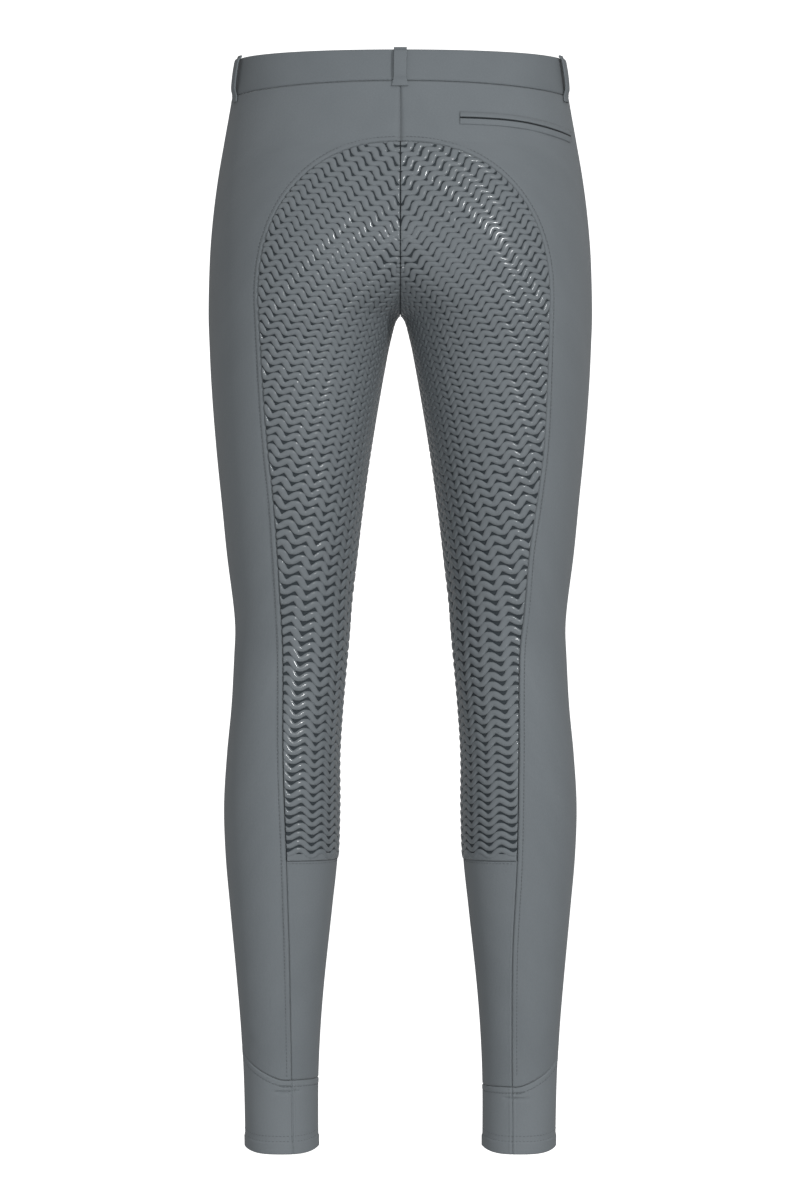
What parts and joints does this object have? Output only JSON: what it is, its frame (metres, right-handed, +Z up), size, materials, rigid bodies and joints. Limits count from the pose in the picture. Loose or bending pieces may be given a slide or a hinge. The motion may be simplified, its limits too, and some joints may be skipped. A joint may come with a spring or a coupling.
{
  "type": "riding breeches",
  "caption": "Full seat riding breeches in worn, hollow form, with raised wave grip on the seat and inner legs, belt loops, a back pocket and elastic ankle cuffs.",
  "frame": {"origin": "middle of the waist opening, level with the waistband's top edge, where the wearer holds the breeches up", "axes": "+Z up out of the waist, +Y the way the wearer faces, +X to the wearer's right"},
  "size_m": [0.3364, 0.2432, 0.9589],
  "materials": {
    "main_cloth": "matt grey stretch twill",
    "band_cloth": "matt grey stretch twill, doubled",
    "cuff_cloth": "smooth grey elastic knit",
    "grip": "satin silicone waves on grey cloth",
    "button": "dark grey moulded"
  },
  "bodies": {
    "root": {"waistband_left": "band_cloth", "waistband_right": "band_cloth", "waist_tab": "band_cloth", "waist_button": "button", "belt_loop_back": "band_cloth", "belt_loop_side_left": "band_cloth", "belt_loop_side_right": "band_cloth", "belt_loop_front_left": "band_cloth", "belt_loop_front_right": "band_cloth", "back_panel_left": "main_cloth", "back_panel_right": "main_cloth", "front_panel_left": "main_cloth", "front_panel_right": "main_cloth", "front_thigh_left": "main_cloth", "front_thigh_right": "main_cloth", "front_shin_left": "main_cloth", "front_shin_right": "main_cloth", "calf_panel_left": "main_cloth", "calf_panel_right": "main_cloth", "grip_panel_left": "grip", "grip_panel_right": "grip", "fly_placket": "main_cloth", "pocket_welt_upper": "main_cloth", "pocket_welt_lower": "main_cloth", "cuff_left": "cuff_cloth", "cuff_right": "cuff_cloth"}
  },
  "joints": []
}
